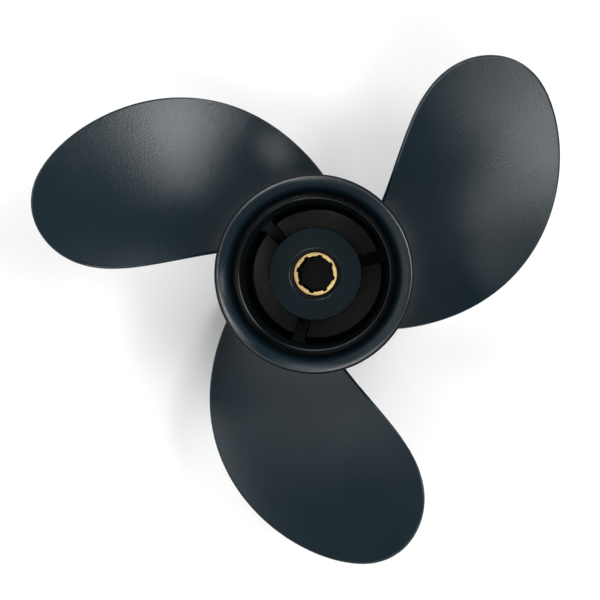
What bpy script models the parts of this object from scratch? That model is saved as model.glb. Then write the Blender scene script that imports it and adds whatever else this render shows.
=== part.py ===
"""Three-blade outboard-motor propeller, 9 1/4 inches in diameter by 10 inches in pitch.

The real thing is one aluminium casting (barrel, aft flare, inner hub tube, three ribs and three
blades), with a rubber bushing pressed into the hub tube and a splined brass sleeve bonded inside it.
Exhaust gas leaves through the three passages between the barrel and the hub tube.

Frame: metres. +Z is the shaft axis, towards the aft (flared) end. +X runs through the first rib.
The origin is on the axis, in the blades' reference plane, which is also within 1 mm of the centre of
mass. Heights in the dimensions below are measured from the front rim, on which the propeller stands.
"""
import math

import bmesh
import bpy
from mathutils import Matrix, Vector

NAME = "propeller"

# Driving dimensions
DIAMETER = 0.235
PITCH = 0.254
BLADE_COUNT = 3
LENGTH = 0.096

# Barrel, a tube with a bell mouth at the aft end
BARREL_FRONT_RADIUS = 0.0330
BARREL_AFT_RADIUS = 0.0336
BORE_FRONT_RADIUS = 0.0288
BORE_AFT_RADIUS = 0.0300
FLARE_HEIGHT = 0.074
FLARE_RADIUS = 0.0391
LIP_THICKNESS = 0.0012
MOUTH_HEIGHT = 0.0844
MOUTH_RADIUS = 0.0308
MOUTH_TURN = math.radians(84.0)
BEAD_RISE = 0.0003
EDGE_CHAMFER = 0.0006

# Inner hub tube, closed at the aft end by a web with a hole
HUB_FRONT_HEIGHT = 0.004
HUB_AFT_HEIGHT = 0.058
HUB_FRONT_RADIUS = 0.0200
HUB_AFT_RADIUS = 0.0193
HUB_BORE_RADIUS = 0.0163
WEB_THICKNESS = 0.0045
WEB_HOLE_RADIUS = 0.0102

# Ribs between the hub tube and the barrel
RIB_FRONT_HEIGHT = 0.006
RIB_AFT_HEIGHT = 0.046
RIB_THICKNESS = 0.0050
RIB_SINK = 0.0015

# Rubber bushing and brass sleeve
FIT_GAP = 0.0003
BUSHING_FRONT_HEIGHT = 0.006
SLEEVE_FRONT_HEIGHT = 0.003
SLEEVE_AFT_HEIGHT = 0.054
SLEEVE_RADIUS = 0.00905
SPLINE_COUNT = 8
SPLINE_MINOR_RADIUS = 0.0073
SPLINE_MAJOR_RADIUS = 0.00815
SPLINE_FLOOR_SHARE = 0.26
SPLINE_MOUTH_SHARE = 0.40
SPLINE_PHASE = math.radians(16.0)

# Blades: a constant-pitch helicoid, raked aft, with its outline set by laws in r / R
RAKE_SLOPE = 0.25
REFERENCE_HEIGHT = 0.046
REFERENCE_RADIUS = 0.040
BLADE_ANGLE = math.radians(-3.64)
ROOT_RADIUS = 0.0333
PLUNGE_RADIUS = 0.0318
OUTLINE_FLOOR_SHARE = 0.30
OUTLINE_FLOOR_BLEND = 0.03
ROOT_THICKNESS = 0.0080
TIP_THICKNESS = 0.0024
EDGE_THICKNESS = 0.0016
TRAILING_TRIM = 0.6
FILLET_RADIUS = 0.0050
FILLET_EDGE_SHARE = 0.25

# Fineness of the faceted solids
ROUND_SEGMENTS = 72
CHORD_POINTS = 12
FILLET_STATIONS = 4
BLADE_STATIONS = 12
TIP_SHARE = 0.96
ARC_POINTS = 8


def clear_scene():
    for item in list(bpy.data.objects):
        bpy.data.objects.remove(item, do_unlink=True)


def new_collection(name):
    group = bpy.data.collections.new(name)
    bpy.context.scene.collection.children.link(group)
    return group


def new_material(name, colour, roughness, metallic):
    material = bpy.data.materials.new(name)
    material.use_nodes = True
    shader = material.node_tree.nodes["Principled BSDF"]
    shader.inputs["Base Color"].default_value = (*colour, 1.0)
    shader.inputs["Roughness"].default_value = roughness
    shader.inputs["Metallic"].default_value = metallic
    return material


def add_object(name, mesh, group, material=None):
    item = bpy.data.objects.new(name, mesh)
    group.objects.link(item)
    if material:
        mesh.materials.append(material)
    return item


def turned(name, profile, group, material=None, segments=ROUND_SEGMENTS):
    """A profile of (radius, height) points, outer side top to bottom, turned about Z."""
    mesh = bpy.data.meshes.new(name)
    points = [(radius, 0.0, height) for radius, height in profile]
    edges = [(i, (i + 1) % len(points)) for i in range(len(points))]
    mesh.from_pydata(points, edges, [])
    item = add_object(name, mesh, group, material)
    screw = item.modifiers.new("turn", "SCREW")
    screw.steps = segments
    screw.render_steps = segments
    screw.use_merge_vertices = True
    screw.merge_threshold = 0.00001
    return item


def make_real(item):
    """Replace an object's mesh by its evaluated one, with no modifiers left."""
    bpy.context.view_layer.update()
    evaluated = item.evaluated_get(bpy.context.evaluated_depsgraph_get())
    mesh = bpy.data.meshes.new_from_object(evaluated)
    item.modifiers.clear()
    item.data = mesh


def shade(item):
    item.data.shade_smooth()
    item.data.set_sharp_from_angle(angle=math.radians(35))


def tool(item):
    """Mark an object as a cutter or filler that only shapes others."""
    item.hide_render = True
    item.display_type = "WIRE"
    return item


def combine(item, other, operation):
    boolean = item.modifiers.new(operation.lower(), "BOOLEAN")
    boolean.operation = operation
    boolean.solver = "EXACT"
    boolean.object = other


def arc_rise(distance, rise, share):
    """Height of a circular arc that starts level and climbs by rise over distance."""
    angle = 2.0 * math.atan2(rise, distance)
    radius = distance / math.sin(angle)
    along = share * distance
    return along, radius - math.sqrt(radius * radius - along * along)


def mouth_curve():
    """The inside of the bell mouth: an ellipse's arc that starts along the axis and ends nearly
    level at the lip's crest."""
    reach = (FLARE_RADIUS - LIP_THICKNESS - MOUTH_RADIUS) / (1.0 - math.cos(MOUTH_TURN))
    rise = (LENGTH - MOUTH_HEIGHT) / math.sin(MOUTH_TURN)
    turns = [MOUTH_TURN * i / ARC_POINTS for i in range(ARC_POINTS + 1)]
    return [(MOUTH_RADIUS + reach * (1.0 - math.cos(turn)), MOUTH_HEIGHT + rise * math.sin(turn))
            for turn in turns]


def barrel_profile():
    """Closed profile of the barrel: down the outside, then up through the bore."""
    points = []
    for i in range(ARC_POINTS, -1, -1):
        along, rise = arc_rise(LENGTH - LIP_THICKNESS / 2 - FLARE_HEIGHT,
                               FLARE_RADIUS - BARREL_AFT_RADIUS, i / ARC_POINTS)
        points.append((BARREL_AFT_RADIUS + rise, FLARE_HEIGHT + along))
    points.append((BARREL_FRONT_RADIUS, EDGE_CHAMFER))
    points.append((BARREL_FRONT_RADIUS - EDGE_CHAMFER, 0.0))
    points.append((BORE_FRONT_RADIUS + EDGE_CHAMFER, 0.0))
    points.append((BORE_FRONT_RADIUS, EDGE_CHAMFER))
    points.append((BORE_AFT_RADIUS, MOUTH_HEIGHT))
    points.append((BORE_AFT_RADIUS + BEAD_RISE, MOUTH_HEIGHT + BEAD_RISE))
    points.append((MOUTH_RADIUS - BEAD_RISE, MOUTH_HEIGHT + BEAD_RISE))
    points += mouth_curve()
    points.append((FLARE_RADIUS - 0.35 * LIP_THICKNESS, LENGTH))
    return points


def hub_profile():
    """Closed profile of the inner hub tube with its aft web."""
    web_height = HUB_AFT_HEIGHT - WEB_THICKNESS
    return [
        (HUB_AFT_RADIUS - EDGE_CHAMFER, HUB_AFT_HEIGHT),
        (HUB_AFT_RADIUS, HUB_AFT_HEIGHT - EDGE_CHAMFER),
        (HUB_FRONT_RADIUS, HUB_FRONT_HEIGHT + EDGE_CHAMFER),
        (HUB_FRONT_RADIUS - EDGE_CHAMFER, HUB_FRONT_HEIGHT),
        (HUB_BORE_RADIUS + EDGE_CHAMFER, HUB_FRONT_HEIGHT),
        (HUB_BORE_RADIUS, HUB_FRONT_HEIGHT + EDGE_CHAMFER),
        (HUB_BORE_RADIUS, web_height),
        (WEB_HOLE_RADIUS, web_height),
        (WEB_HOLE_RADIUS, HUB_AFT_HEIGHT - EDGE_CHAMFER),
        (WEB_HOLE_RADIUS + EDGE_CHAMFER, HUB_AFT_HEIGHT),
    ]


def make_rib(index, group):
    """A straight rib from inside the hub tube's wall to inside the barrel's wall."""
    inner = HUB_BORE_RADIUS + RIB_SINK
    outer = BORE_FRONT_RADIUS + RIB_SINK
    length = outer - inner
    height = RIB_AFT_HEIGHT - RIB_FRONT_HEIGHT
    shape = bmesh.new()
    bmesh.ops.create_cube(shape, size=1.0)
    place = Matrix.Rotation(index * math.tau / BLADE_COUNT, 4, "Z")
    place @= Matrix.Translation((inner + length / 2, 0.0, RIB_FRONT_HEIGHT + height / 2))
    place @= Matrix.Diagonal((length, RIB_THICKNESS, height, 1.0))
    bmesh.ops.transform(shape, matrix=place, verts=shape.verts)
    mesh = bpy.data.meshes.new(f"rib_{index + 1}")
    shape.to_mesh(mesh)
    shape.free()
    return tool(add_object(f"rib_{index + 1}", mesh, group))


def outline_share(share):
    """Share that the outline laws are read at: it eases to a floor inside the root, so that the
    two edges meet the barrel behind its front rim."""
    above = share - OUTLINE_FLOOR_SHARE
    return OUTLINE_FLOOR_SHARE + 0.5 * (above + math.hypot(above, OUTLINE_FLOOR_BLEND))


def mid_angle(share):
    """Skew law: angle of the section's middle, for share = r / R."""
    return math.radians(21.7 + 9.9 * share + 9.5 * share ** 2 - 11.5 / share)


def half_angle(share):
    """Chord law: half of the angle that a section spans; elliptical towards the tip."""
    width = 68.5 - 122.7 * share + 199.5 * share ** 2 - 112.3 * share ** 3
    return math.radians(width) * math.sqrt(max(0.0, 1.0 - share * share))


def thickness(share):
    """Greatest thickness of a section, falling in a straight line from root to tip."""
    root_share = 2.0 * ROOT_RADIUS / DIAMETER
    along = (share - root_share) / (1.0 - root_share)
    return ROOT_THICKNESS + (TIP_THICKNESS - ROOT_THICKNESS) * along


def chord_stations():
    """Places along the chord from 0 at the leading edge to 1 at the trailing edge."""
    return [0.5 - 0.5 * math.cos(math.pi * i / (CHORD_POINTS - 1)) for i in range(CHORD_POINTS)]


def section_loop(radius, grow):
    """Points of one blade section, on the cylinder of the given radius.

    The aft face lies on the helicoid and the forward face bulges from it. The trailing end is
    trimmed, so that the blunt edge seen from aft keeps the outline. A root fillet is made by
    moving every point out of the section by grow, less near the two edges.
    """
    share = min(1.0, 2.0 * radius / DIAMETER)
    outline = min(1.0, outline_share(share))
    pitch_angle = math.atan2(PITCH, math.tau * radius)
    along = Vector((math.cos(pitch_angle), math.sin(pitch_angle)))
    forward = Vector((math.sin(pitch_angle), -math.cos(pitch_angle)))
    chord = 2.0 * half_angle(outline) * radius / math.cos(pitch_angle)
    most = thickness(share)
    rake = RAKE_SLOPE * (radius - REFERENCE_RADIUS)
    turn = mid_angle(outline)
    middle = Vector((turn * radius, turn * PITCH / math.tau + rake))

    def place(station, depth, spread):
        point = middle + along * ((station - 0.5) * chord + spread) + forward * depth
        angle = point.x / radius + BLADE_ANGLE
        height = REFERENCE_HEIGHT + point.y
        return Vector((radius * math.cos(angle), radius * math.sin(angle), height))

    aft_side = []
    forward_side = []
    edge_grow = grow * FILLET_EDGE_SHARE
    nose = 0.5 * EDGE_THICKNESS
    trim = TRAILING_TRIM * (EDGE_THICKNESS * math.tan(pitch_angle) + nose)
    for station in chord_stations():
        bulge = 4.0 * station * (1.0 - station)
        depth = EDGE_THICKNESS + (most - EDGE_THICKNESS) * bulge
        swell = edge_grow + (grow - edge_grow) * math.sqrt(bulge)
        spread = edge_grow * (2.0 * station - 1.0) - trim * station
        aft_side.append(place(station, -swell, spread))
        forward_side.append(place(station, depth + swell, spread))
    leading = place(0.0, EDGE_THICKNESS / 2, -edge_grow - nose)
    trailing = place(1.0, EDGE_THICKNESS / 2, edge_grow - trim + nose)
    return aft_side + [trailing] + forward_side[::-1] + [leading]


def blade_sections():
    """Section loops from inside the barrel's wall, out through the root fillet, to the tip."""
    loops = [section_loop(PLUNGE_RADIUS, FILLET_RADIUS)]
    for i in range(FILLET_STATIONS + 1):
        angle = 0.5 * math.pi * i / FILLET_STATIONS
        radius = ROOT_RADIUS + FILLET_RADIUS * (1.0 - math.cos(angle))
        loops.append(section_loop(radius, FILLET_RADIUS * (1.0 - math.sin(angle))))
    start = ROOT_RADIUS + FILLET_RADIUS
    for i in range(1, BLADE_STATIONS + 1):
        rise = math.sin(0.5 * math.pi * TIP_SHARE * i / BLADE_STATIONS)
        loops.append(section_loop(start + (DIAMETER / 2 - start) * rise, 0.0))
    return loops


def close_end(shape, ring):
    """Close an end of the loft with faces from side to side, which follow the section's curve."""
    last = CHORD_POINTS - 1
    aft_side = ring[:CHORD_POINTS]
    trailing = ring[CHORD_POINTS]
    forward_side = ring[2 * CHORD_POINTS:CHORD_POINTS:-1]
    leading = ring[-1]
    for i in range(last):
        shape.faces.new((aft_side[i], aft_side[i + 1], forward_side[i + 1], forward_side[i]))
    shape.faces.new((leading, aft_side[0], forward_side[0]))
    shape.faces.new((trailing, aft_side[last], forward_side[last]))


def make_blade(index, group):
    """Loft through the section loops, closed at both ends."""
    shape = bmesh.new()
    rings = [[shape.verts.new(point) for point in loop] for loop in blade_sections()]
    for lower, upper in zip(rings, rings[1:]):
        for i in range(len(lower)):
            j = (i + 1) % len(lower)
            shape.faces.new((lower[i], lower[j], upper[j], upper[i]))
    close_end(shape, rings[0])
    close_end(shape, rings[-1])
    bmesh.ops.recalc_face_normals(shape, faces=shape.faces)
    turn = Matrix.Rotation(index * math.tau / BLADE_COUNT, 3, "Z")
    bmesh.ops.rotate(shape, matrix=turn, verts=shape.verts)
    mesh = bpy.data.meshes.new(f"blade_{index + 1}")
    shape.to_mesh(mesh)
    shape.free()
    return tool(add_object(f"blade_{index + 1}", mesh, group))


def make_casting(parts, fillers):
    material = new_material("black_paint", (0.030, 0.034, 0.040), 0.42, 0.0)
    casting = turned("propeller_casting", barrel_profile(), parts, material)
    combine(casting, tool(turned("hub_tube", hub_profile(), fillers)), "UNION")
    for index in range(BLADE_COUNT):
        combine(casting, make_blade(index, fillers), "UNION")
        combine(casting, make_rib(index, fillers), "UNION")
    return casting


def make_bushing(parts):
    material = new_material("black_rubber", (0.020, 0.020, 0.021), 0.75, 0.0)
    top = HUB_AFT_HEIGHT - WEB_THICKNESS - FIT_GAP
    outer = HUB_BORE_RADIUS - FIT_GAP
    inner = SLEEVE_RADIUS + FIT_GAP
    profile = [
        (outer, top),
        (outer, BUSHING_FRONT_HEIGHT + EDGE_CHAMFER),
        (outer - EDGE_CHAMFER, BUSHING_FRONT_HEIGHT),
        (inner + EDGE_CHAMFER, BUSHING_FRONT_HEIGHT),
        (inner, BUSHING_FRONT_HEIGHT + EDGE_CHAMFER),
        (inner, top),
    ]
    return turned("rubber_bushing", profile, parts, material, segments=48)


def spline_outline():
    """Points around the sleeve's bore: eight grooves between eight lands."""
    pitch_angle = math.tau / SPLINE_COUNT
    points = []
    for index in range(SPLINE_COUNT):
        centre = SPLINE_PHASE + index * pitch_angle
        floor = SPLINE_FLOOR_SHARE * pitch_angle / 2
        mouth = SPLINE_MOUTH_SHARE * pitch_angle / 2
        land = pitch_angle / 2
        corners = [(-mouth, SPLINE_MINOR_RADIUS), (-floor, SPLINE_MAJOR_RADIUS),
                   (floor, SPLINE_MAJOR_RADIUS), (mouth, SPLINE_MINOR_RADIUS),
                   (land, SPLINE_MINOR_RADIUS)]
        for offset, radius in corners:
            angle = centre + offset
            points.append((radius * math.cos(angle), radius * math.sin(angle)))
    return points


def make_sleeve(parts, fillers):
    material = new_material("brass", (0.80, 0.58, 0.24), 0.32, 1.0)
    profile = [
        (SLEEVE_RADIUS, SLEEVE_AFT_HEIGHT),
        (SLEEVE_RADIUS, SLEEVE_FRONT_HEIGHT),
        (SLEEVE_RADIUS / 2, SLEEVE_FRONT_HEIGHT),
        (SLEEVE_RADIUS / 2, SLEEVE_AFT_HEIGHT),
    ]
    sleeve = turned("spline_sleeve", profile, parts, material, segments=48)
    outline = bpy.data.curves.new("spline_cutter", "CURVE")
    outline.dimensions = "2D"
    outline.fill_mode = "BOTH"
    outline.extrude = LENGTH
    spline = outline.splines.new("POLY")
    points = spline_outline()
    spline.points.add(len(points) - 1)
    for slot, (x, y) in zip(spline.points, points):
        slot.co = (x, y, 0.0, 1.0)
    spline.use_cyclic_u = True
    flat = add_object("spline_outline", outline, fillers)
    bpy.context.view_layer.update()
    evaluated = flat.evaluated_get(bpy.context.evaluated_depsgraph_get())
    mesh = bpy.data.meshes.new_from_object(evaluated)
    shape = bmesh.new()
    shape.from_mesh(mesh)
    bmesh.ops.remove_doubles(shape, verts=shape.verts, dist=0.000001)
    bmesh.ops.recalc_face_normals(shape, faces=shape.faces)
    shape.to_mesh(mesh)
    shape.free()
    cutter = tool(add_object("spline_cutter", mesh, fillers))
    bpy.data.objects.remove(flat, do_unlink=True)
    combine(sleeve, cutter, "DIFFERENCE")
    return sleeve


def main():
    clear_scene()
    parts = new_collection(NAME)
    fillers = new_collection(NAME + "_shaping")
    pieces = [make_casting(parts, fillers), make_bushing(parts), make_sleeve(parts, fillers)]
    for piece in pieces:
        make_real(piece)
        piece.location.z = -REFERENCE_HEIGHT
        shade(piece)


main()
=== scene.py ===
import math

import bmesh
import bpy
from mathutils import Matrix, Vector


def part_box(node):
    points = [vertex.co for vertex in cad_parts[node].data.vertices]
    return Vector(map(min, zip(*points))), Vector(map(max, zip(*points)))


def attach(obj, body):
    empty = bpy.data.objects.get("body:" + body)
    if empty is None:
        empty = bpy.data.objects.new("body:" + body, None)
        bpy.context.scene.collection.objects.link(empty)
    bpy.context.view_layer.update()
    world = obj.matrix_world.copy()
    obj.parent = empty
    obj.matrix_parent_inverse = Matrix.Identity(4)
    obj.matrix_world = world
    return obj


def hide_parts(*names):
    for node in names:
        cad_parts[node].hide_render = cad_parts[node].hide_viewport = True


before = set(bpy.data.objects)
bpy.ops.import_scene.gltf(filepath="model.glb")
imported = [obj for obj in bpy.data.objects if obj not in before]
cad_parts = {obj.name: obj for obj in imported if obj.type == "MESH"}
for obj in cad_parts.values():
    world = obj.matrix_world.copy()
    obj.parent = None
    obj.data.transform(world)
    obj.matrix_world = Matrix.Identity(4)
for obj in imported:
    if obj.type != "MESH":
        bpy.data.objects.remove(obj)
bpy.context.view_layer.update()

# The looks of the outboard-motor propeller: the fused casting with its fillets and rounded edges,
# the rubber bushing, the splined brass sleeve, their materials, the floor, the lights and the camera.
# Metres. +Z is the shaft axis, towards aft. The origin is in the blades' reference plane.

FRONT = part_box("propeller_casting")[0].z
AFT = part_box("propeller_casting")[1].z

# Blades. Their fine rims keep a little inside the solids' box.
BOX_MARGIN = 0.0005
DIAMETER = 0.235 - BOX_MARGIN
PITCH = 0.254
BLADE_COUNT = 3
BLADE_ANGLE = math.radians(-3.64)
RAKE_SLOPE = 0.25
REFERENCE_RADIUS = 0.040
ROOT_RADIUS = 0.0333
ROOT_THICKNESS = 0.0080
TIP_THICKNESS = 0.0024
EDGE_THICKNESS = 0.0016
OUTLINE_FLOOR_SHARE = 0.30
OUTLINE_FLOOR_BLEND = 0.03
FILLET_RADIUS = 0.0050
EDGE_FILLET_RADIUS = 0.0016

# Barrel, heights above the front rim
BARREL_FRONT_RADIUS = 0.0330
BARREL_AFT_RADIUS = 0.0336
BORE_FRONT_RADIUS = 0.0288
BORE_AFT_RADIUS = 0.0300
BORE_STEP = 0.0002
FRONT_STEP_HEIGHT = 0.0150
AFT_STEP_HEIGHT = 0.0600
FRONT_RIM_ROUNDING = 0.0006
FLARE_HEIGHT = 0.074
FLARE_RADIUS = 0.0391
LIP_THICKNESS = 0.0012
LIP_DROP = 0.0011
LIP_ROUNDING = 0.0003
CREST_RADIUS = FLARE_RADIUS - LIP_THICKNESS
CREST_ROUNDING = 0.0006
CREST_HALF_WIDTH = 0.8 * CREST_ROUNDING
CREST_DEPTH = 2.0 * LIP_DROP
MOUTH_HEIGHT = 0.0844
MOUTH_RADIUS = 0.0308
MOUTH_TURN = math.radians(60.0)
BEAD_RISE = 0.0004
BEAD_GROOVE = 0.00015
BEAD_ROUNDING = 0.00015

# Paint: its gloss, where the painted shade inside the bell mouth fades from near-black to satin,
# and how far below the bell mouth the duller inner paint, darkened as painted shade, begins
PAINT_IOR = 1.42
THROAT_FRONT_RADIUS = 0.0325
THROAT_AFT_RADIUS = 0.0352
INNER_PAINT_DROP = 0.0015

# Hub tube, ribs, bushing and sleeve, heights above the front rim
HUB_FRONT_HEIGHT = 0.004
HUB_AFT_HEIGHT = 0.058
HUB_FRONT_RADIUS = 0.0200
HUB_AFT_RADIUS = 0.0193
HUB_BORE_RADIUS = 0.0163
HUB_FRONT_ROUNDING = 0.0006
HUB_AFT_ROUNDING = 0.0004
WEB_THICKNESS = 0.0045
WEB_HOLE_RADIUS = 0.0102
WEB_ROUNDING = 0.0008
WEB_EDGE_ROUNDING = 0.0003
RIB_FRONT_HEIGHT = 0.006
RIB_AFT_HEIGHT = 0.046
RIB_THICKNESS = 0.0050
FIT_GAP = 0.0003
BUSHING_FRONT_HEIGHT = 0.006
BUSHING_FRONT_ROUNDING = 0.0008
BUSHING_AFT_ROUNDING = 0.0005
BUSHING_BORE_FRONT_ROUNDING = 0.0006
BUSHING_BORE_AFT_ROUNDING = 0.0004
GROOVE_HALF_WIDTH = 0.0014
GROOVE_HALF_FLOOR = 0.0008
GROOVE_DEPTH = 0.0008
GROOVE_ROUNDING = 0.0003
SLEEVE_FRONT_HEIGHT = 0.003
SLEEVE_AFT_HEIGHT = 0.054
SLEEVE_RADIUS = 0.00905
SLEEVE_CHAMFER = 0.0006
SLEEVE_FRONT_ROUNDING = 0.00035
SLEEVE_AFT_ROUNDING = 0.00015
SPLINE_COUNT = 8
SPLINE_MINOR_RADIUS = 0.0073
SPLINE_MAJOR_RADIUS = 0.00815
SPLINE_PHASE = math.radians(16.0)
SPLINE_ALLOWANCE = 0.0004
SPLINE_FLOOR_SHARE = 0.26
SPLINE_MOUTH_SHARE = 0.40

# Fineness
ROUND_SEGMENTS = 240
BUSHING_SEGMENTS = 160
SLEEVE_SEGMENTS = 192
MARK_SEGMENTS = 32
MERGE_DISTANCE = 0.000001
FLARE_STEPS = 22
MOUTH_STEPS = 36
WALL_STEP = 0.0015
CHORD_COUNT = 48
SPAN_COUNT = 56
RIM_STEPS = 8
FILLET_STEPS = 8
SPLINE_FLOOR_STEPS = 4
SPLINE_LAND_STEPS = 8

# Small forms of the casting
TIP_REACH = 0.975
RIM_POWER = 0.67
RIM_UPRIGHT = 0.45
WALL_UPRIGHT = 0.5
RIM_INSET = 0.14
TRAILING_TRIM = 0.6
FILLET_START = 0.10
FILLET_SINK = 0.00012
WALL_SINK = 0.0015
RIB_SEAT = 0.0008
RIB_FILLET = 0.0020
RIB_EDGE = 0.0007
MARK_RADIUS = 0.0016
MARK_DEPTH = 0.0003
MARK_PLACE = 0.0240

# Floor
FLOOR_REACH = 3.0
FLOOR_GAP = 0.0002

# The photograph's viewpoint. Its right-hand direction lies 15.3 degrees before the first rib.
PHOTO_TURN = math.radians(15.3)
CAMERA_PLACE = (0.0095, 0.0017, 0.6400)
CAMERA_TILT_X = -0.01990
CAMERA_TILT_Y = 0.02532
CAMERA_LENS = 90.85

# The studio's soft windows, as directions in the photograph's frame: azimuth and elevation, half
# width across and half height, all in degrees, and brightness
SOFT_WINDOWS = {
    "key, high": (20.0, 40.0, 6.0, 6.0, 10.0),
    "key, middle": (29.0, 34.0, 6.0, 6.0, 6.5),
    "key, low": (38.0, 28.0, 6.0, 5.0, 3.5),
    "key, side": (8.0, 30.0, 5.0, 6.0, 2.5),
    "small lamp": (5.0, 19.0, 5.0, 4.0, 6.0),
    "above the key": (10.0, 62.0, 9.0, 5.0, 13.0),
    "right, high": (276.0, 46.0, 7.0, 5.0, 9.0),
    "right, far": (295.0, 43.0, 6.0, 6.0, 2.5),
    "right, low": (273.0, 32.0, 6.0, 5.0, 2.8),
    "right, near": (255.0, 30.0, 6.0, 5.0, 1.5),
    "above the right": (295.0, 62.0, 9.0, 5.0, 11.0),
    "far wall": (115.0, 46.0, 13.0, 10.0, 6.0),
    "far wall, low": (88.0, 30.0, 12.0, 12.0, 2.5),
    "left wall, high": (220.0, 52.0, 14.0, 7.0, 2.5),
    "left wall": (200.0, 22.0, 24.0, 11.0, 0.7),
    "left wall, far": (150.0, 24.0, 26.0, 9.0, 0.7),
    "bounce from the left": (160.0, 5.0, 40.0, 8.0, 0.7),
}
ROOM_BRIGHTNESS = 0.25

# Small enough that a window doesn't shine from the opposite side of the room too
WINDOW_DEPTH = 0.5


def new_material(name):
    """A new material, its node tree and its shader node."""
    material = bpy.data.materials.new(name)
    material.use_nodes = True
    tree = material.node_tree
    return material, tree, tree.nodes["Principled BSDF"]


def noise(tree, scale, detail=2.0, roughness=0.5):
    """A noise pattern in the object's own coordinates, in features per metre."""
    place = tree.nodes.new("ShaderNodeTexCoord")
    pattern = tree.nodes.new("ShaderNodeTexNoise")
    pattern.inputs["Scale"].default_value = scale
    pattern.inputs["Detail"].default_value = detail
    pattern.inputs["Roughness"].default_value = roughness
    tree.links.new(place.outputs["Object"], pattern.inputs["Vector"])
    return pattern.outputs["Fac"]


def remap(tree, value, low, high, to_low, to_high):
    """Map one range of a value onto another, and hold it at the ends."""
    node = tree.nodes.new("ShaderNodeMapRange")
    node.inputs["From Min"].default_value = low
    node.inputs["From Max"].default_value = high
    node.inputs["To Min"].default_value = to_low
    node.inputs["To Max"].default_value = to_high
    tree.links.new(value, node.inputs["Value"])
    return node.outputs["Result"]


def blend_colours(tree, value, first, second):
    """Blend two colours by a value. Each is a tuple, or the output of a node."""
    node = tree.nodes.new("ShaderNodeMix")
    node.data_type = "RGBA"
    for name, colour in (("A", first), ("B", second)):
        if isinstance(colour, tuple):
            node.inputs[name].default_value = (*colour, 1.0)
        else:
            tree.links.new(colour, node.inputs[name])
    tree.links.new(value, node.inputs["Factor"])
    return node.outputs["Result"]


def bump(tree, height, distance, strength, under=None):
    """Bumps from a height pattern, laid over the normal of other bumps where given."""
    node = tree.nodes.new("ShaderNodeBump")
    node.inputs["Distance"].default_value = distance
    node.inputs["Strength"].default_value = strength
    tree.links.new(height, node.inputs["Height"])
    if under:
        tree.links.new(under, node.inputs["Normal"])
    return node.outputs["Normal"]


def paint_material():
    """Satin blue-black paint over a cast surface: faint orange peel, uneven gloss."""
    material, tree, shader = new_material("satin_black_paint")
    tone = remap(tree, noise(tree, 60.0, 3.0), 0.35, 0.65, 0.0, 1.0)
    colour = blend_colours(tree, tone, (0.0028, 0.0114, 0.0170), (0.0038, 0.0128, 0.0188))
    tree.links.new(colour, shader.inputs["Base Color"])
    gloss = remap(tree, noise(tree, 38.0, 4.0), 0.3, 0.7, 0.18, 0.22)
    tree.links.new(gloss, shader.inputs["Roughness"])
    shader.inputs["IOR"].default_value = PAINT_IOR
    waves = bump(tree, noise(tree, 90.0, 2.0), 0.0008, 0.06)
    peel = bump(tree, noise(tree, 1500.0, 2.0), 0.0001, 0.6, waves)
    tree.links.new(peel, shader.inputs["Normal"])
    return material


def throat_shade_paint_material():
    """The satin paint inside the bell mouth, with painted shade that turns it blacker towards the
    bore.
    """
    material = paint_material()
    material.name = "throat_shade_paint"
    tree = material.node_tree
    shader = tree.nodes["Principled BSDF"]
    satin = shader.inputs["Base Color"].links[0].from_socket
    place = tree.nodes.new("ShaderNodeTexCoord")
    across = tree.nodes.new("ShaderNodeVectorMath")
    across.operation = "MULTIPLY"
    across.inputs[1].default_value = (1.0, 1.0, 0.0)
    tree.links.new(place.outputs["Object"], across.inputs[0])
    radius = tree.nodes.new("ShaderNodeVectorMath")
    radius.operation = "LENGTH"
    tree.links.new(across.outputs["Vector"], radius.inputs[0])
    share = remap(tree, radius.outputs["Value"], THROAT_FRONT_RADIUS, THROAT_AFT_RADIUS, 0.0, 1.0)
    # painted shade: near-black towards the bore, where the bell mouth falls into shade
    colour = blend_colours(tree, share, (0.0006, 0.0018, 0.0028), satin)
    tree.links.new(colour, shader.inputs["Base Color"])
    return material


def burnished_paint_material():
    """The paint on the lip's crest, rubbed smooth and glossy."""
    material, tree, shader = new_material("burnished_paint")
    tone = remap(tree, noise(tree, 300.0, 3.0), 0.35, 0.65, 0.0, 1.0)
    colour = blend_colours(tree, tone, (0.0010, 0.0070, 0.0110), (0.0040, 0.0100, 0.0140))
    tree.links.new(colour, shader.inputs["Base Color"])
    gloss = remap(tree, noise(tree, 500.0, 3.0), 0.3, 0.7, 0.20, 0.28)
    tree.links.new(gloss, shader.inputs["Roughness"])
    shader.inputs["Specular IOR Level"].default_value = 1.0
    peel = bump(tree, noise(tree, 900.0, 3.0), 0.0001, 0.2)
    tree.links.new(peel, shader.inputs["Normal"])
    return material


def inner_shade_paint_material():
    """The thinner, duller paint inside the exhaust passages and the hub's bore, its colour also
    darkened as painted shade.
    """
    material, tree, shader = new_material("dull_inner_shade_paint")
    tone = remap(tree, noise(tree, 120.0, 3.0), 0.3, 0.7, 0.0, 1.0)
    # painted shade: a much darker base colour than the outer paint's
    colour = blend_colours(tree, tone, (0.0008, 0.0024, 0.0036), (0.0014, 0.0034, 0.0048))
    tree.links.new(colour, shader.inputs["Base Color"])
    gloss = remap(tree, noise(tree, 60.0, 3.0), 0.3, 0.7, 0.52, 0.64)
    tree.links.new(gloss, shader.inputs["Roughness"])
    shader.inputs["Specular IOR Level"].default_value = 0.15
    grain = bump(tree, noise(tree, 1400.0, 3.0), 0.00008, 0.4)
    tree.links.new(grain, shader.inputs["Normal"])
    return material


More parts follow.
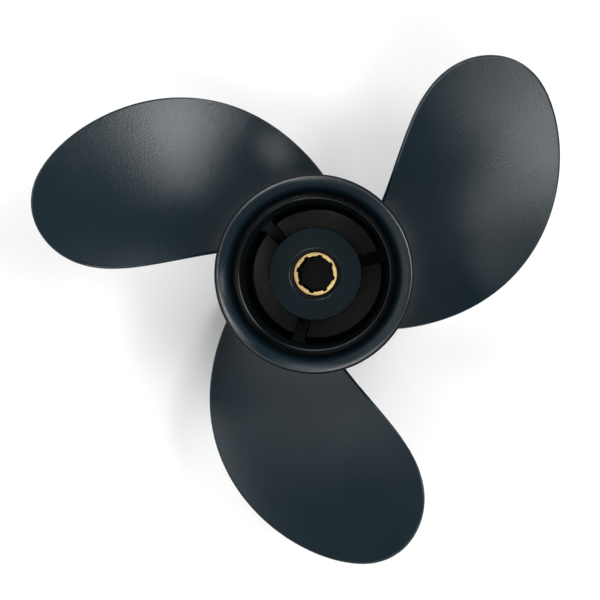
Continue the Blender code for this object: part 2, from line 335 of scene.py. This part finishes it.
def brass_material():
    """Machined brass: fine turning marks, a little tarnish."""
    material, tree, shader = new_material("machined_brass")
    tone = remap(tree, noise(tree, 420.0, 4.0), 0.35, 0.7, 0.0, 1.0)
    colour = blend_colours(tree, tone, (1.0, 0.80, 0.40), (0.96, 0.64, 0.25))
    tree.links.new(colour, shader.inputs["Base Color"])
    shader.inputs["Metallic"].default_value = 1.0
    gloss = remap(tree, noise(tree, 900.0, 3.0), 0.3, 0.7, 0.36, 0.50)
    tree.links.new(gloss, shader.inputs["Roughness"])
    place = tree.nodes.new("ShaderNodeTexCoord")
    rings = tree.nodes.new("ShaderNodeTexWave")
    rings.wave_type = "RINGS"
    rings.rings_direction = "Z"
    rings.inputs["Scale"].default_value = 900.0
    rings.inputs["Distortion"].default_value = 1.5
    rings.inputs["Detail"].default_value = 2.0
    tree.links.new(place.outputs["Object"], rings.inputs["Vector"])
    tree.links.new(bump(tree, rings.outputs["Fac"], 0.00003, 0.3), shader.inputs["Normal"])
    return material


def bore_shade_brass_material():
    """The brass inside the bore, near-black: painted shade down the bore."""
    material, tree, shader = new_material("bore_shade_brass")
    tone = remap(tree, noise(tree, 700.0, 3.0), 0.35, 0.7, 0.0, 1.0)
    colour = blend_colours(tree, tone, (0.004, 0.003, 0.002), (0.020, 0.013, 0.005))
    tree.links.new(colour, shader.inputs["Base Color"])
    gloss = remap(tree, noise(tree, 500.0), 0.3, 0.7, 0.5, 0.7)
    tree.links.new(gloss, shader.inputs["Roughness"])
    shader.inputs["Specular IOR Level"].default_value = 0.3
    return material


def rubber_material():
    """Moulded black rubber, matt, with a fine grain."""
    material, tree, shader = new_material("moulded_rubber")
    tone = remap(tree, noise(tree, 300.0, 4.0), 0.3, 0.7, 0.0, 1.0)
    colour = blend_colours(tree, tone, (0.005, 0.005, 0.0055), (0.010, 0.010, 0.0105))
    tree.links.new(colour, shader.inputs["Base Color"])
    gloss = remap(tree, noise(tree, 150.0), 0.3, 0.7, 0.62, 0.78)
    tree.links.new(gloss, shader.inputs["Roughness"])
    grain = bump(tree, noise(tree, 2500.0, 3.0), 0.00004, 0.5)
    tree.links.new(grain, shader.inputs["Normal"])
    return material


def floor_material():
    """A plain pale sweep, very slightly uneven."""
    material, tree, shader = new_material("pale_floor")
    tone = remap(tree, noise(tree, 3.0), 0.3, 0.7, 0.0, 1.0)
    colour = blend_colours(tree, tone, (0.965, 0.965, 0.965), (0.975, 0.975, 0.975))
    tree.links.new(colour, shader.inputs["Base Color"])
    shader.inputs["Roughness"].default_value = 0.7
    return material


def add_object(name, mesh, material=None):
    """An object for a mesh, in the scene's own collection."""
    item = bpy.data.objects.new(name, mesh)
    bpy.context.scene.collection.objects.link(item)
    if material:
        mesh.materials.append(material)
    return item


def make_real(item):
    """Apply an object's modifiers to its mesh."""
    bpy.context.view_layer.update()
    evaluated = item.evaluated_get(bpy.context.evaluated_depsgraph_get())
    mesh = bpy.data.meshes.new_from_object(evaluated)
    item.modifiers.clear()
    item.data = mesh


def shade(item, angle=32.0):
    """Smooth shading, with sharp edges where faces meet at more than an angle in degrees."""
    item.data.shade_smooth()
    item.data.set_sharp_from_angle(angle=math.radians(angle))


def rounded(corners, steps=5):
    """A closed outline from corners (x, y, rounding radius), with each corner an arc."""
    points = []
    count = len(corners)
    for i, (x, y, radius) in enumerate(corners):
        here = Vector((x, y))
        if radius <= 0.0:
            points.append(here)
            continue
        back = (Vector(corners[i - 1][:2]) - here).normalized()
        ahead = (Vector(corners[(i + 1) % count][:2]) - here).normalized()
        half = 0.5 * math.acos(max(-1.0, min(1.0, back.dot(ahead))))
        centre = here + (back + ahead).normalized() * (radius / math.sin(half))
        reach = radius / math.tan(half)
        first = here + back * reach - centre
        last = here + ahead * reach - centre
        for k in range(steps + 1):
            points.append(centre + first.lerp(last, k / steps).normalized() * radius)
    return points


def turned(name, profile, segments=ROUND_SEGMENTS):
    """An outline of (radius, height), outer side top to bottom, turned about Z."""
    mesh = bpy.data.meshes.new(name)
    points = [(radius, 0.0, height) for radius, height in profile]
    edges = [(i, (i + 1) % len(points)) for i in range(len(points))]
    mesh.from_pydata(points, edges, [])
    item = add_object(name, mesh)
    screw = item.modifiers.new("turn", "SCREW")
    screw.steps = segments
    screw.render_steps = segments
    screw.use_merge_vertices = True
    screw.merge_threshold = MERGE_DISTANCE
    make_real(item)
    return item


def combine(item, other, operation):
    """Apply a boolean and remove the tool object."""
    boolean = item.modifiers.new(operation.lower(), "BOOLEAN")
    boolean.operation = operation
    boolean.solver = "EXACT"
    boolean.object = other
    make_real(item)
    bpy.data.objects.remove(other, do_unlink=True)


def arc_points(distance, rise, count):
    """Points of a circular arc that starts level and climbs by rise over distance."""
    angle = 2.0 * math.atan2(rise, distance)
    radius = distance / math.sin(angle)
    turns = [angle * i / count for i in range(count + 1)]
    return [(radius * math.sin(a), radius * (1.0 - math.cos(a))) for a in turns]


def wall_radius(height):
    """Radius of the barrel's outside at a height, below the flare."""
    share = min(1.0, (height - FRONT) / FLARE_HEIGHT)
    return BARREL_FRONT_RADIUS + (BARREL_AFT_RADIUS - BARREL_FRONT_RADIUS) * share


def mouth_curve(count):
    """The inside of the bell mouth: an ellipse's arc that starts along the axis and still climbs
    where it meets the lip's crest."""
    reach = (CREST_RADIUS - MOUTH_RADIUS) / (1.0 - math.cos(MOUTH_TURN))
    rise = (AFT - FRONT - MOUTH_HEIGHT) / math.sin(MOUTH_TURN)
    turns = [MOUTH_TURN * i / count for i in range(count + 1)]
    return [(MOUTH_RADIUS + reach * (1.0 - math.cos(turn)), MOUTH_HEIGHT + rise * math.sin(turn))
            for turn in turns]


def barrel_profile():
    """The barrel's outline: rolled lip, flare, cylinder, front rim, bore, ledge and bell mouth."""
    length = AFT - FRONT
    rise = FLARE_RADIUS - BARREL_AFT_RADIUS
    flare = arc_points(length - LIP_DROP - FLARE_HEIGHT, rise, FLARE_STEPS)
    outside = [(BARREL_AFT_RADIUS + out, FLARE_HEIGHT + along) for along, out in flare]
    steps = round(FLARE_HEIGHT / WALL_STEP)
    wall = []
    for i in range(steps, 0, -1):
        height = FLARE_HEIGHT * i / steps
        wall.append((wall_radius(FRONT + height), height, 0.0))
    inside = mouth_curve(MOUTH_STEPS)
    down = wall + [
        (BARREL_FRONT_RADIUS, 0.0, FRONT_RIM_ROUNDING),
        (BORE_FRONT_RADIUS, 0.0, FRONT_RIM_ROUNDING),
        (BORE_FRONT_RADIUS + 2.0 * BORE_STEP, FRONT_STEP_HEIGHT, BORE_STEP),
        (BORE_FRONT_RADIUS + 3.0 * BORE_STEP, FRONT_STEP_HEIGHT + BORE_STEP, BORE_STEP),
        (BORE_AFT_RADIUS - 1.5 * BORE_STEP, AFT_STEP_HEIGHT, BORE_STEP),
        (BORE_AFT_RADIUS - 0.5 * BORE_STEP, AFT_STEP_HEIGHT + BORE_STEP, BORE_STEP),
        (BORE_AFT_RADIUS, MOUTH_HEIGHT, BEAD_ROUNDING),
        (MOUTH_RADIUS - BEAD_GROOVE, MOUTH_HEIGHT + BEAD_RISE, BEAD_ROUNDING),
        (MOUTH_RADIUS - BEAD_GROOVE, MOUTH_HEIGHT, 0.0),
        (MOUTH_RADIUS, MOUTH_HEIGHT, 0.0),
    ]
    # The rounded lip takes the place of the last points of the mouth and of the flare.
    lip_corners = [
        (*inside[-4], 0.0),
        (*inside[-1], CREST_ROUNDING),
        (FLARE_RADIUS, length - LIP_DROP, LIP_ROUNDING),
        (*outside[-3], 0.0),
    ]
    points = [Vector(p) for p in outside[-3:0:-1]]
    points += rounded(down)
    points += [Vector(p) for p in inside[1:-3]]
    points += rounded(lip_corners)[1:-1]
    return [(p.x, p.y + FRONT) for p in points]


def hub_profile():
    """The hub tube's outline, with a thick aft web and rounded edges."""
    web = HUB_AFT_HEIGHT - WEB_THICKNESS
    corners = [
        (HUB_AFT_RADIUS, HUB_AFT_HEIGHT, HUB_AFT_ROUNDING),
        (HUB_FRONT_RADIUS, HUB_FRONT_HEIGHT, HUB_FRONT_ROUNDING),
        (HUB_BORE_RADIUS, HUB_FRONT_HEIGHT, HUB_FRONT_ROUNDING),
        (HUB_BORE_RADIUS, web, WEB_ROUNDING),
        (WEB_HOLE_RADIUS, web, WEB_EDGE_ROUNDING),
        (WEB_HOLE_RADIUS, HUB_AFT_HEIGHT, WEB_ROUNDING),
    ]
    return [(p.x, p.y + FRONT) for p in rounded(corners)]


def outline_share(share):
    """Share that the outline laws are read at: it eases to a floor inside the root."""
    above = share - OUTLINE_FLOOR_SHARE
    return min(1.0, OUTLINE_FLOOR_SHARE + 0.5 * (above + math.hypot(above, OUTLINE_FLOOR_BLEND)))


def mid_angle(share):
    """Skew law: angle of the section's middle, for share = r / R."""
    return math.radians(21.7 + 9.9 * share + 9.5 * share ** 2 - 11.5 / share)


def half_angle(share):
    """Chord law: half of the angle that a section spans; elliptical towards the tip."""
    width = 68.5 - 122.7 * share + 199.5 * share ** 2 - 112.3 * share ** 3
    return math.radians(width) * math.sqrt(max(0.0, 1.0 - share * share))


def edge_angles(radius):
    """Angles of the aft face's leading and trailing edge, just inside the rounded rim."""
    nose = 0.5 * EDGE_THICKNESS
    stretched = radius + nose * (radius - ROOT_RADIUS) / (0.5 * DIAMETER - nose - ROOT_RADIUS)
    share = outline_share(2.0 * stretched / DIAMETER)
    slope = PITCH / (math.tau * radius)
    arc = radius * math.hypot(1.0, slope)
    inset = RIM_INSET * EDGE_THICKNESS / arc
    trim = TRAILING_TRIM * (EDGE_THICKNESS * slope + nose) / arc
    low = mid_angle(share) - half_angle(share) + inset
    high = mid_angle(share) + half_angle(share) - inset - trim
    if high < low:
        low = high = 0.5 * (low + high)
    return low, high


def polar(radius, angle, height):
    """A point of the first blade."""
    turned_angle = angle + BLADE_ANGLE
    return Vector((radius * math.cos(turned_angle), radius * math.sin(turned_angle), height))


def face_normal(radius, angle):
    """Unit normal of the helicoid, towards aft."""
    a = angle + BLADE_ANGLE
    radial = Vector((math.cos(a), math.sin(a), RAKE_SLOPE))
    around = Vector((-math.sin(a), math.cos(a), PITCH / (math.tau * radius)))
    return radial.cross(around).normalized()


def thickness(share, station):
    """Thickness of the blade: greatest in the middle of the root, blunt at every edge."""
    root_share = 2.0 * ROOT_RADIUS / DIAMETER
    along = (share - root_share) / (1.0 - root_share)
    most = ROOT_THICKNESS + (TIP_THICKNESS - ROOT_THICKNESS) * along
    swell = 4.0 * station * (1.0 - station) * (1.0 - share ** 10)
    return EDGE_THICKNESS + (most - EDGE_THICKNESS) * swell


def span_radii():
    """Radii of the blade's stations, from the root fillet's top to just inside the tip."""
    first = ROOT_RADIUS + FILLET_RADIUS
    last = 0.5 * DIAMETER - 0.5 * EDGE_THICKNESS
    turns = [0.5 * math.pi * TIP_REACH * i / SPAN_COUNT for i in range(SPAN_COUNT + 1)]
    return [first + (last - first) * math.sin(turn) for turn in turns]


def blade_row(radius):
    """Points of the aft face, on the helicoid, and of the forward face, at one radius."""
    share = min(1.0, 2.0 * radius / (DIAMETER - EDGE_THICKNESS))
    low, high = edge_angles(radius)
    aft = []
    fore = []
    for j in range(CHORD_COUNT + 1):
        station = 0.5 - 0.5 * math.cos(math.pi * j / CHORD_COUNT)
        angle = low + (high - low) * station
        height = angle * PITCH / math.tau + RAKE_SLOPE * (radius - REFERENCE_RADIUS)
        point = polar(radius, angle, height)
        aft.append(point)
        fore.append(point - face_normal(radius, angle) * thickness(share, station))
    return aft, fore


def outer_edge(rows):
    """Points around a face: out along the trailing edge, over the tip, back along the leading."""
    trailing = [row[-1] for row in rows]
    tip = rows[-1][-2:0:-1]
    leading = [row[0] for row in reversed(rows)]
    return trailing + tip + leading


def blunt(value):
    """A sine or cosine, raised to the power that squares a circle's corners."""
    return math.copysign(abs(value) ** RIM_POWER, value)


def rim_rings(aft_edge, fore_edge):
    """Blunt rim with rounded corners between the two faces, as rings of points from the aft to
    the forward edge."""
    last = len(aft_edge) - 1
    rings = []
    for k in range(1, RIM_STEPS):
        turn = math.pi * k / RIM_STEPS
        ring = []
        for n, (aft, fore) in enumerate(zip(aft_edge, fore_edge)):
            run = aft_edge[min(n + 1, last)] - aft_edge[max(n - 1, 0)]
            across = fore - aft
            outward = run.cross(across).normalized()
            middle = aft + across * (0.5 - 0.5 * blunt(math.cos(turn)))
            ring.append(middle + outward * (0.5 * across.length * blunt(math.sin(turn))))
        rings.append(ring)
    return rings


def root_rings(loop):
    """Rings that flare the blade's innermost loop onto the barrel, and one inside its wall."""
    count = len(loop)
    radii = [math.hypot(p.x, p.y) for p in loop]
    mean = sum(radii) / count
    flat = [Vector((math.atan2(p.y, p.x) * mean, p.z)) for p in loop]
    nose = flat[0]
    tail = flat[CHORD_COUNT]
    chord = (tail - nose).length
    axis = (tail - nose) / chord
    side = Vector((-axis.y, axis.x))
    turns = [math.pi * k / RIM_STEPS for k in range(1, RIM_STEPS)]
    round_tail = [side * math.cos(turn) + axis * math.sin(turn) for turn in turns]
    round_nose = [-direction for direction in round_tail]
    outward = [side] * (CHORD_COUNT + 1) + round_tail
    outward += [-side] * (CHORD_COUNT + 1) + round_nose
    rings = []
    for k in range(FILLET_STEPS - 1, -1, -1):
        turn = 0.5 * math.pi * (FILLET_START + (1.0 - FILLET_START) * k / FILLET_STEPS)
        ring = []
        for n, point in enumerate(flat):
            along = min(1.0, max(0.0, (point - nose).dot(axis) / chord))
            swell = 4.0 * along * (1.0 - along)
            size = EDGE_FILLET_RADIUS + (FILLET_RADIUS - EDGE_FILLET_RADIUS) * swell
            reach = wall_radius(point.y) - FILLET_SINK + size * (1.0 - math.cos(turn))
            reach = min(reach, radii[n])
            spot = point + outward[n] * (size * (1.0 - math.sin(turn)))
            height = spot.y + RAKE_SLOPE * (reach - radii[n])
            angle = spot.x / mean
            ring.append(Vector((reach * math.cos(angle), reach * math.sin(angle), height)))
        rings.append(ring)
    scale = (ROOT_RADIUS - WALL_SINK) / ROOT_RADIUS
    rings.append([Vector((p.x * scale, p.y * scale, p.z)) for p in rings[-1]])
    return rings


def bridge(shape, first, second, closed):
    """Faces between two rings of vertices."""
    count = len(first)
    for n in range(count if closed else count - 1):
        m = (n + 1) % count
        shape.faces.new((first[n], first[m], second[m], second[n]))


def close_root(shape, ring):
    """Faces from side to side across the sunk end, so that they follow the barrel's wall."""
    aft = ring[:CHORD_COUNT + 1]
    trailing = ring[CHORD_COUNT + 1:CHORD_COUNT + RIM_STEPS]
    fore = ring[CHORD_COUNT + RIM_STEPS:2 * CHORD_COUNT + RIM_STEPS + 1]
    leading = ring[2 * CHORD_COUNT + RIM_STEPS + 1:]
    bridge(shape, aft, fore[::-1], closed=False)
    shape.faces.new([aft[-1]] + trailing + [fore[0]])
    shape.faces.new([fore[-1]] + leading + [aft[0]])


def make_blade(index):
    """One blade: two faces, a blunt rim around them and a flared root, as a closed body."""
    rows = [blade_row(radius) for radius in span_radii()]
    aft_rows = [aft for aft, fore in rows]
    fore_rows = [fore for aft, fore in rows]
    rim = rim_rings(outer_edge(aft_rows), outer_edge(fore_rows))
    loop = aft_rows[0] + [ring[0] for ring in rim]
    loop += fore_rows[0][::-1] + [ring[-1] for ring in reversed(rim)]
    root = root_rings(loop)
    shape = bmesh.new()
    aft_verts = [[shape.verts.new(p) for p in row] for row in aft_rows]
    fore_verts = [[shape.verts.new(p) for p in row] for row in fore_rows]
    rim_verts = [[shape.verts.new(p) for p in ring] for ring in rim]
    root_verts = [[shape.verts.new(p) for p in ring] for ring in root]
    for grid in (aft_verts, fore_verts):
        for lower, upper in zip(grid, grid[1:]):
            bridge(shape, lower, upper, closed=False)
    around = [outer_edge(aft_verts)] + rim_verts + [outer_edge(fore_verts)]
    for first, second in zip(around, around[1:]):
        bridge(shape, first, second, closed=False)
    inner = aft_verts[0] + [ring[0] for ring in rim_verts]
    inner += fore_verts[0][::-1] + [ring[-1] for ring in reversed(rim_verts)]
    down = [inner] + root_verts
    for first, second in zip(down, down[1:]):
        bridge(shape, first, second, closed=True)
    close_root(shape, root_verts[-1])
    bmesh.ops.recalc_face_normals(shape, faces=shape.faces)
    turn = Matrix.Rotation(index * math.tau / BLADE_COUNT, 3, "Z")
    bmesh.ops.rotate(shape, matrix=turn, verts=shape.verts)
    mesh = bpy.data.meshes.new("blade")
    shape.to_mesh(mesh)
    shape.free()
    return add_object("blade", mesh)


def rib_plan():
    """Half of a rib's outline seen along the axis, with a fillet at each wall."""
    half = 0.5 * RIB_THICKNESS
    hub = HUB_AFT_RADIUS - RIB_SEAT
    bore = BORE_FRONT_RADIUS + RIB_SEAT
    turns = [0.5 * math.pi * k / FILLET_STEPS for k in range(FILLET_STEPS + 1)]
    side = [(hub - RIB_SEAT, half + RIB_FILLET)]
    for turn in turns:
        side.append((hub + RIB_FILLET * (1.0 - math.cos(turn)),
                     half + RIB_FILLET * (1.0 - math.sin(turn))))
    for turn in reversed(turns):
        side.append((bore - RIB_FILLET * (1.0 - math.cos(turn)),
                     half + RIB_FILLET * (1.0 - math.sin(turn))))
    side.append((bore + RIB_SEAT, half + RIB_FILLET))
    return side


def make_rib(index):
    """A rib with rounded ends and a round ejector mark on its aft end."""
    side = rib_plan()
    plan = side + [(x, -y) for x, y in reversed(side)]
    shape = bmesh.new()
    base = shape.faces.new([shape.verts.new((x, y, FRONT + RIB_FRONT_HEIGHT)) for x, y in plan])
    made = bmesh.ops.extrude_face_region(shape, geom=[base])
    top = [part for part in made["geom"] if isinstance(part, bmesh.types.BMVert)]
    bmesh.ops.translate(shape, vec=(0.0, 0.0, RIB_AFT_HEIGHT - RIB_FRONT_HEIGHT), verts=top)
    bmesh.ops.recalc_face_normals(shape, faces=shape.faces)
    mesh = bpy.data.meshes.new("rib")
    shape.to_mesh(mesh)
    shape.free()
    rib = add_object("rib", mesh)
    edge = rib.modifiers.new("round", "BEVEL")
    edge.width = RIB_EDGE
    edge.segments = 3
    edge.limit_method = "ANGLE"
    edge.angle_limit = math.radians(60.0)
    make_real(rib)
    mark = turned("mark", [(p.x, p.y + FRONT) for p in rounded([
        (MARK_RADIUS, RIB_AFT_HEIGHT + MARK_DEPTH, 0.0),
        (MARK_RADIUS, RIB_AFT_HEIGHT - MARK_DEPTH, 0.5 * MARK_DEPTH),
        (0.0, RIB_AFT_HEIGHT - MARK_DEPTH, 0.0),
        (0.0, RIB_AFT_HEIGHT + MARK_DEPTH, 0.0)])], segments=MARK_SEGMENTS)
    mark.location.x = MARK_PLACE
    combine(rib, mark, "DIFFERENCE")
    rib.data.transform(Matrix.Rotation(index * math.tau / BLADE_COUNT, 4, "Z"))
    return rib


def paint_inside(item, material, reach, top):
    """Give a second material to the inner faces: within a radius and below a height, the upright
    ones and all that lie under the hub's web."""
    item.data.materials.append(material)
    web = FRONT + HUB_AFT_HEIGHT - WEB_THICKNESS
    for face in item.data.polygons:
        place = face.center
        near = math.hypot(place.x, place.y) < reach and place.z < top
        if near and (abs(face.normal.z) < WALL_UPRIGHT or place.z < web):
            face.material_index = 1


def shade_paint_blade_rims(item):
    """Give the second material, darker and duller, to the upright sides of the blades' rims: painted
    shade along the blades' edges.
    """
    for face in item.data.polygons:
        out = math.hypot(face.center.x, face.center.y) > FLARE_RADIUS + LIP_THICKNESS
        if out and abs(face.normal.z) < RIM_UPRIGHT:
            face.material_index = 1


def burnish_crest_shade_lip(item, material):
    """Give a third material to the narrow crest of the bell mouth's lip, and the second, darker one
    to the lip's outer side, as painted shade."""
    item.data.materials.append(material)
    for face in item.data.polygons:
        place = face.center
        off = math.hypot(place.x, place.y) - CREST_RADIUS
        high = place.z > AFT - CREST_DEPTH
        if high and abs(off) < CREST_HALF_WIDTH:
            face.material_index = 2
        # painted shade: the lip's outer side gets the darker inner paint
        elif high and off > 0.0:
            face.material_index = 1


def darken_throat(item, material):
    """Give a fourth material, the throat's painted shade, to the inside of the bell mouth, below the
    lip's crest.
    """
    item.data.materials.append(material)
    for face in item.data.polygons:
        place = face.center
        inward = place.x * face.normal.x + place.y * face.normal.y < 0.0
        within = math.hypot(place.x, place.y) < CREST_RADIUS - CREST_HALF_WIDTH
        if inward and within and place.z > FRONT + MOUTH_HEIGHT:
            face.material_index = 3


def make_casting():
    """The casting: barrel, hub tube, ribs and blades as one body, and its paints."""
    casting = turned("casting", barrel_profile())
    combine(casting, turned("hub_tube", hub_profile()), "UNION")
    for index in range(BLADE_COUNT):
        combine(casting, make_rib(index), "UNION")
        combine(casting, make_blade(index), "UNION")
    casting.data.materials.clear()
    casting.data.materials.append(paint_material())
    inner_top = FRONT + MOUTH_HEIGHT - INNER_PAINT_DROP
    # partly painted shade: the passages, the bore and the underside of the web get the darker inner
    # paint
    paint_inside(casting, inner_shade_paint_material(), BORE_AFT_RADIUS, inner_top)
    # painted shade: a dark outline along the blades' rims
    shade_paint_blade_rims(casting)
    burnish_crest_shade_lip(casting, burnished_paint_material())
    # painted shade: the throat of the bell mouth darkens towards the bore
    darken_throat(casting, throat_shade_paint_material())
    shade(casting)
    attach(casting, "root")
    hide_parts("propeller_casting")
    return casting


def make_bushing():
    """The rubber bushing, with a moulded lip and groove on the end that shows at the front."""
    top = HUB_AFT_HEIGHT - WEB_THICKNESS - FIT_GAP
    outer = HUB_BORE_RADIUS - FIT_GAP
    inner = SLEEVE_RADIUS + FIT_GAP
    middle = 0.5 * (inner + outer)
    front = BUSHING_FRONT_HEIGHT
    corners = [
        (outer, top, BUSHING_AFT_ROUNDING),
        (outer, front, BUSHING_FRONT_ROUNDING),
        (middle + GROOVE_HALF_WIDTH, front, GROOVE_ROUNDING),
        (middle + GROOVE_HALF_FLOOR, front + GROOVE_DEPTH, GROOVE_ROUNDING),
        (middle - GROOVE_HALF_FLOOR, front + GROOVE_DEPTH, GROOVE_ROUNDING),
        (middle - GROOVE_HALF_WIDTH, front, GROOVE_ROUNDING),
        (inner, front, BUSHING_BORE_FRONT_ROUNDING),
        (inner, top, BUSHING_BORE_AFT_ROUNDING),
    ]
    profile = [(p.x, p.y + FRONT) for p in rounded(corners, steps=4)]
    bushing = turned("bushing", profile, segments=BUSHING_SEGMENTS)
    bushing.data.materials.append(rubber_material())
    shade(bushing)
    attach(bushing, "root")
    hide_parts("rubber_bushing")
    return bushing


def spline_outline():
    """Points around the sleeve's bore: eight grooves with slanted flanks, eight round lands."""
    step = math.tau / SPLINE_COUNT
    points = []
    for index in range(SPLINE_COUNT):
        centre = SPLINE_PHASE + index * step
        floor = 0.5 * SPLINE_FLOOR_SHARE * step
        mouth = 0.5 * SPLINE_MOUTH_SHARE * step
        for k in range(SPLINE_FLOOR_STEPS + 1):
            turn = floor * (2.0 * k / SPLINE_FLOOR_STEPS - 1.0)
            points.append((SPLINE_MAJOR_RADIUS, centre + turn))
        for k in range(SPLINE_LAND_STEPS + 1):
            turn = mouth + (step - 2.0 * mouth) * k / SPLINE_LAND_STEPS
            points.append((SPLINE_MINOR_RADIUS, centre + turn))
    return [(radius * math.cos(angle), radius * math.sin(angle)) for radius, angle in points]


def prism(name, outline, low, high):
    """A closed outline, extruded from one height to another."""
    shape = bmesh.new()
    base = shape.faces.new([shape.verts.new((x, y, low)) for x, y in outline])
    made = bmesh.ops.extrude_face_region(shape, geom=[base])
    top = [part for part in made["geom"] if isinstance(part, bmesh.types.BMVert)]
    bmesh.ops.translate(shape, vec=(0.0, 0.0, high - low), verts=top)
    bmesh.ops.recalc_face_normals(shape, faces=shape.faces)
    mesh = bpy.data.meshes.new(name)
    shape.to_mesh(mesh)
    shape.free()
    return add_object(name, mesh)


def make_sleeve():
    """The brass sleeve, with chamfered ends and broached grooves."""
    inner = SPLINE_MINOR_RADIUS - SPLINE_ALLOWANCE
    corners = [
        (SLEEVE_RADIUS, SLEEVE_AFT_HEIGHT, SLEEVE_AFT_ROUNDING),
        (SLEEVE_RADIUS, SLEEVE_FRONT_HEIGHT, SLEEVE_FRONT_ROUNDING),
        (inner + SLEEVE_CHAMFER, SLEEVE_FRONT_HEIGHT, 0.0),
        (inner, SLEEVE_FRONT_HEIGHT + SLEEVE_CHAMFER, 0.0),
        (inner, SLEEVE_AFT_HEIGHT - SLEEVE_CHAMFER, 0.0),
        (inner + SLEEVE_CHAMFER, SLEEVE_AFT_HEIGHT, 0.0),
    ]
    profile = [(p.x, p.y + FRONT) for p in rounded(corners, steps=4)]
    sleeve = turned("sleeve", profile, segments=SLEEVE_SEGMENTS)
    combine(sleeve, prism("grooves", spline_outline(), FRONT, AFT), "DIFFERENCE")
    sleeve.data.materials.clear()
    sleeve.data.materials.append(brass_material())
    # painted shade: the bore's faces get near-black brass in place of the shade down the bore
    paint_inside(sleeve, bore_shade_brass_material(), SPLINE_MAJOR_RADIUS + FIT_GAP, AFT)
    shade(sleeve, 25.0)
    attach(sleeve, "root")
    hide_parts("spline_sleeve")
    return sleeve


def make_floor():
    """The pale floor, just under the front rim."""
    mesh = bpy.data.meshes.new("floor")
    signs = [(-1.0, -1.0), (1.0, -1.0), (1.0, 1.0), (-1.0, 1.0)]
    corners = [(x * FLOOR_REACH, y * FLOOR_REACH, FRONT - FLOOR_GAP) for x, y in signs]
    mesh.from_pydata(corners, [], [(0, 1, 2, 3)])
    floor = add_object("floor", mesh, floor_material())


def glow(tree, direction, window):
    """Brightness of one soft window in a direction of the room: even inside, with soft edges."""
    azimuth, elevation, width, height, brightness = window
    turn = math.radians(azimuth) - PHOTO_TURN
    rise = math.radians(elevation)
    axis = (math.cos(rise) * math.cos(turn), math.cos(rise) * math.sin(turn), math.sin(rise))
    place = tree.nodes.new("ShaderNodeMapping")
    place.vector_type = "TEXTURE"
    place.inputs["Location"].default_value = axis
    place.inputs["Rotation"].default_value = (0.0, -rise, turn)
    place.inputs["Scale"].default_value = (WINDOW_DEPTH, math.radians(width), math.radians(height))
    tree.links.new(direction, place.inputs["Vector"])
    square = tree.nodes.new("ShaderNodeVectorMath")
    square.operation = "DOT_PRODUCT"
    edge = tree.nodes.new("ShaderNodeMath")
    edge.operation = "MULTIPLY"
    for side in (0, 1):
        tree.links.new(place.outputs["Vector"], square.inputs[side])
        tree.links.new(square.outputs["Value"], edge.inputs[side])
    fall = tree.nodes.new("ShaderNodeMath")
    fall.operation = "MULTIPLY_ADD"
    fall.inputs[1].default_value = -0.5
    fall.inputs[2].default_value = math.log(brightness)
    tree.links.new(edge.outputs[0], fall.inputs[0])
    level = tree.nodes.new("ShaderNodeMath")
    level.operation = "EXPONENT"
    tree.links.new(fall.outputs[0], level.inputs[0])
    return level.outputs[0]


def make_world():
    """A dim room with soft windows around the propeller."""
    world = bpy.data.worlds.new("studio")
    world.use_nodes = True
    tree = world.node_tree
    place = tree.nodes.new("ShaderNodeTexCoord")
    total = None
    for window in SOFT_WINDOWS.values():
        level = glow(tree, place.outputs["Generated"], window)
        both = tree.nodes.new("ShaderNodeMath")
        both.operation = "ADD"
        tree.links.new(level, both.inputs[0])
        if total:
            tree.links.new(total, both.inputs[1])
        else:
            both.inputs[1].default_value = ROOM_BRIGHTNESS
        total = both.outputs[0]
    tree.links.new(total, tree.nodes["Background"].inputs["Strength"])
    tree.nodes["Background"].inputs["Color"].default_value = (1.0, 1.0, 1.0, 1.0)
    bpy.context.scene.world = world


def make_camera():
    """The photograph's viewpoint: 0.64 m above the blades' reference plane, a degree off axis."""
    lens = bpy.data.cameras.new("camera")
    lens.lens = CAMERA_LENS
    lens.sensor_width = 36.0
    camera = bpy.data.objects.new("camera", lens)
    bpy.context.scene.collection.objects.link(camera)
    spin = Matrix.Rotation(-PHOTO_TURN, 4, "Z")
    tilt = Matrix.Rotation(CAMERA_TILT_X, 4, "X") @ Matrix.Rotation(CAMERA_TILT_Y, 4, "Y")
    camera.matrix_world = spin @ Matrix.Translation(CAMERA_PLACE) @ tilt
    bpy.context.scene.camera = camera


make_camera()
make_casting()
make_bushing()
make_sleeve()
make_floor()
make_world()
bpy.context.scene.view_settings.view_transform = "Standard"
